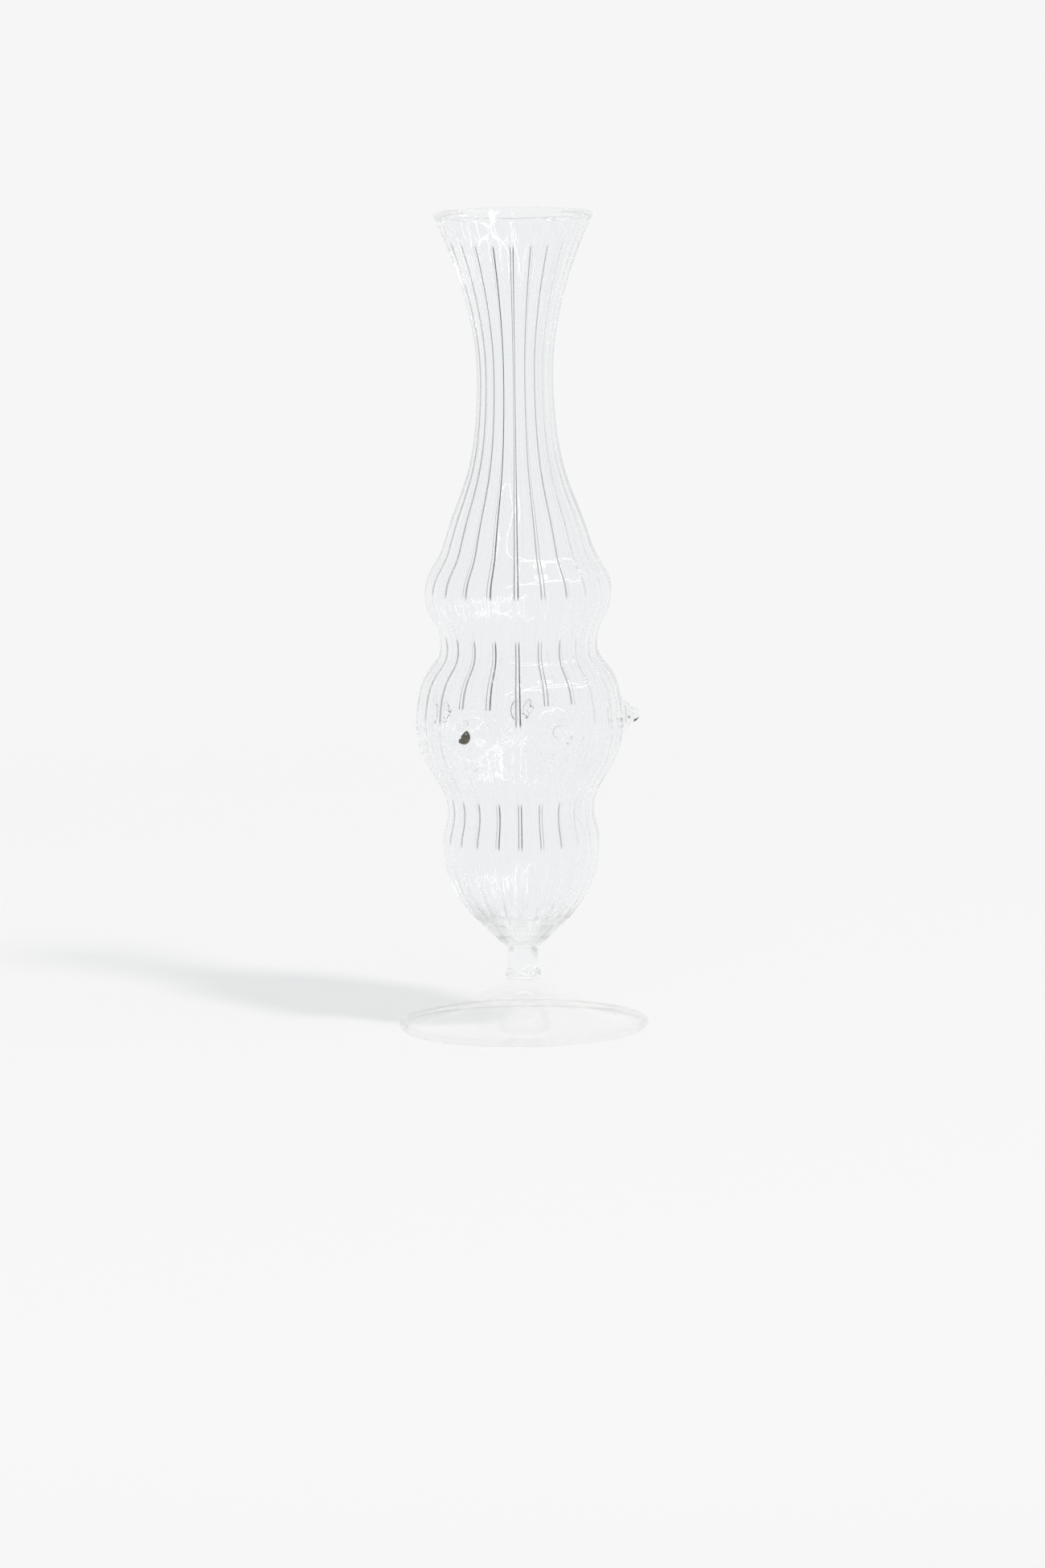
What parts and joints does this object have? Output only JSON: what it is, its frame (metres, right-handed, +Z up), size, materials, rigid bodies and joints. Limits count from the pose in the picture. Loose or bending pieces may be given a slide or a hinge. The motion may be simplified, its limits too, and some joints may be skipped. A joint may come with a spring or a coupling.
{
  "type": "stemmed glass vase",
  "caption": "Tall ribbed clear-glass vase with a flared mouth, narrow neck, stacked bulges, small pulled points round the belly, a short stem and a wide domed foot.",
  "frame": {"origin": "middle of the foot's resting ring, on the surface that the vase stands on", "axes": "+Z up the vase's axis from foot to mouth; -Y is the front of the picture and +X its right"},
  "size_m": [0.0826, 0.0826, 0.27],
  "materials": {
    "clear_glass": "fire-polished clear glass with fine drawn ribs",
    "foot_glass": "fire-polished clear glass, faintly green in the thick rim",
    "bead_glass": "solid drops of clear glass that look dark"
  },
  "bodies": {
    "root": {"vessel": "clear_glass", "stem": "clear_glass", "stem_collar": "clear_glass", "foot": "foot_glass", "tip_bead_front_left": "bead_glass", "tip_bead_front_right": "bead_glass", "tip_bead_right": "bead_glass", "tip_bead_back": "bead_glass", "tip_bead_back_left": "bead_glass"}
  },
  "joints": []
}
